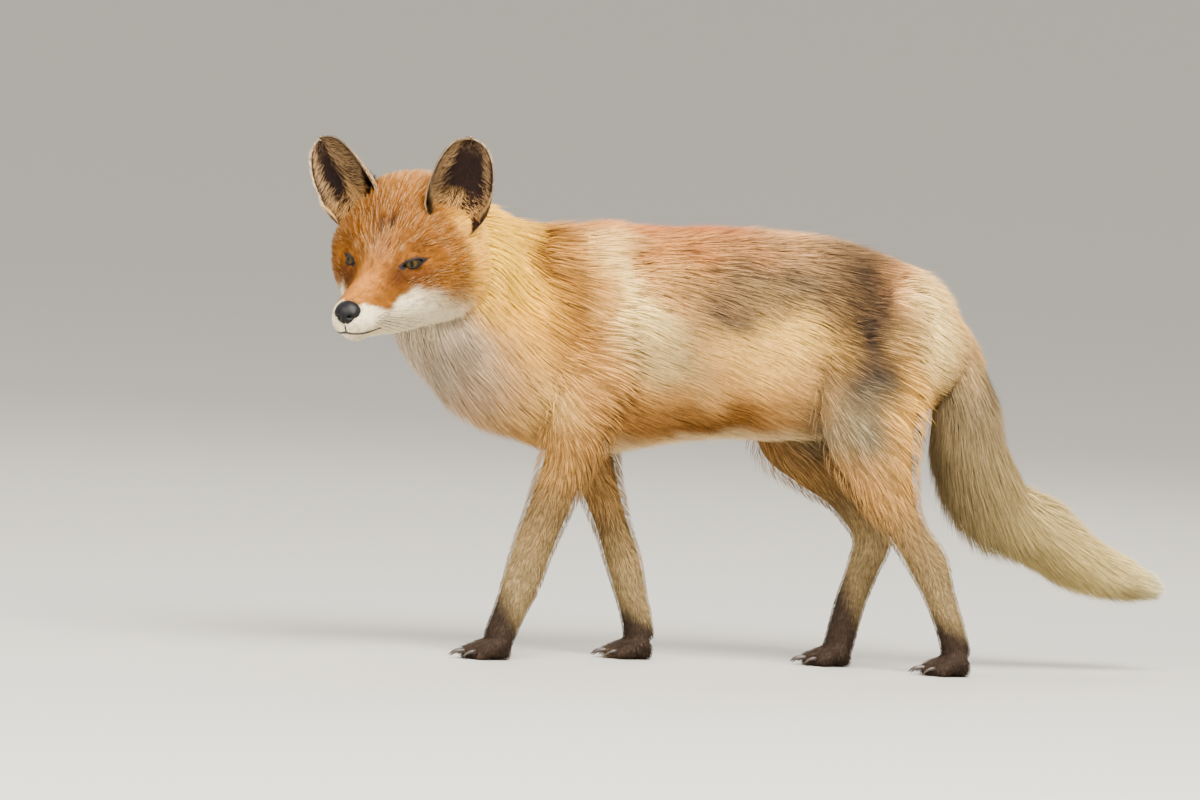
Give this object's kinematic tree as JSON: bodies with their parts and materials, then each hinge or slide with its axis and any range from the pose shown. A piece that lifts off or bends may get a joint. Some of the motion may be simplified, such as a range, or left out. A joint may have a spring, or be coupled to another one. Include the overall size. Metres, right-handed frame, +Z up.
{
  "type": "red fox",
  "caption": "Life-size still model of a red fox, walking with its head turned aside, standing on its four soles.",
  "frame": {"origin": "centre of the bounding box at the floor, under the soles", "axes": "the fox faces -X, its left side is -Y, +Z up; the body and tail run along X"},
  "size_m": [0.8198, 0.2546, 0.46],
  "materials": {
    "head_coat": "fur",
    "cheek_white": "fur",
    "neck_coat": "fur",
    "trunk_coat": "fur",
    "leg_coat": "fur",
    "paw_coat": "short fur",
    "tail_coat": "fur",
    "tail_tip": "fur",
    "ear_back": "short fur",
    "nose_leather": "moist",
    "eye": "glossy"
  },
  "bodies": {
    "root": {"head": "head_coat", "lower_jaw": "cheek_white", "nose": "nose_leather", "eye_left": "eye", "eye_right": "eye", "ear_left": "ear_back", "ear_right": "ear_back", "neck": "neck_coat", "trunk": "trunk_coat", "shoulder_left": "leg_coat", "forearm_left": "leg_coat", "forepaw_left": "paw_coat", "shoulder_right": "leg_coat", "forearm_right": "leg_coat", "forepaw_right": "paw_coat", "thigh_left": "leg_coat", "shank_left": "leg_coat", "hindpaw_left": "paw_coat", "thigh_right": "leg_coat", "shank_right": "leg_coat", "hindpaw_right": "paw_coat", "tail_root": "tail_coat", "tail_brush": "tail_coat", "tail_tip": "tail_tip"}
  },
  "joints": []
}
